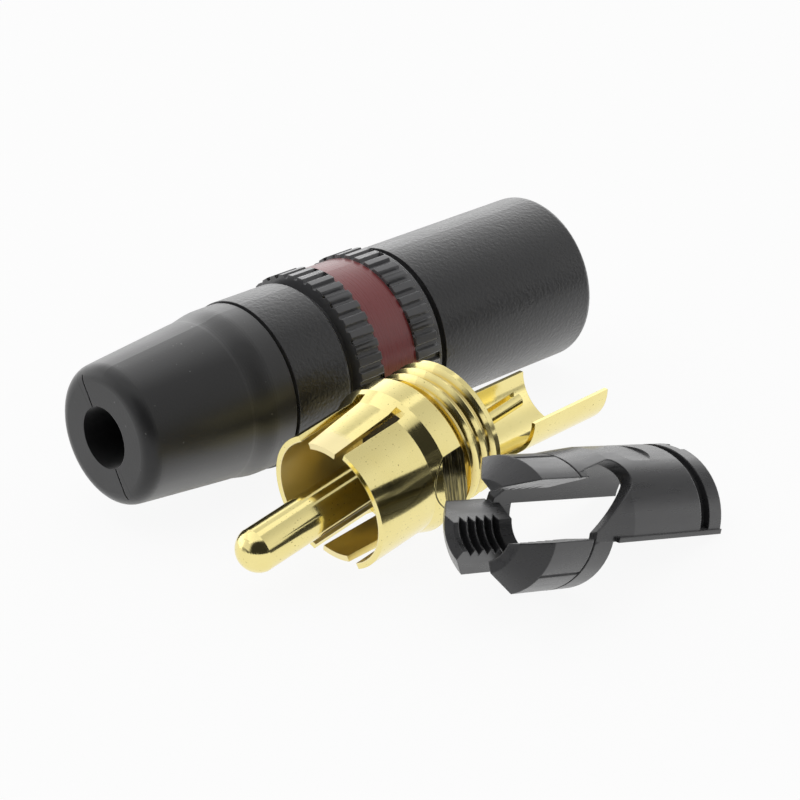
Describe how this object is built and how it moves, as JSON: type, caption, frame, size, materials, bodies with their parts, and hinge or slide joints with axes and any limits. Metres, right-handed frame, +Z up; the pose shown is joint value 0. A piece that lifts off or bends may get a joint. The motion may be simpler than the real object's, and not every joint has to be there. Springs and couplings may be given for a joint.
{
  "type": "phono plug",
  "caption": "Solder-on phono plug taken apart: black shell with rubber boot and red ring, gilt slotted contact with centre pin and solder tab, and moulded cable chuck",
  "frame": {"origin": "middle of the base of the whole layout, on the surface that the pieces lie on", "axes": "+X along the shell's axis, from the boot to the open front; +Y from the chuck to the shell; +Z up from the surface"},
  "size_m": [0.0434, 0.0392, 0.0135],
  "materials": {
    "black_plastic": "fine grain",
    "red_plastic": "satin",
    "black_rubber": "smooth matte",
    "gilt_brass": "bright gilt",
    "insulator_plastic": "matte",
    "chuck_plastic": "satin"
  },
  "bodies": {
    "root": {"shell": "black_plastic", "colour_ring": "red_plastic", "boot": "black_rubber", "contact_body": "gilt_brass", "insulator": "insulator_plastic", "centre_pin": "gilt_brass", "earth_tab": "gilt_brass", "chuck": "chuck_plastic"}
  },
  "joints": []
}
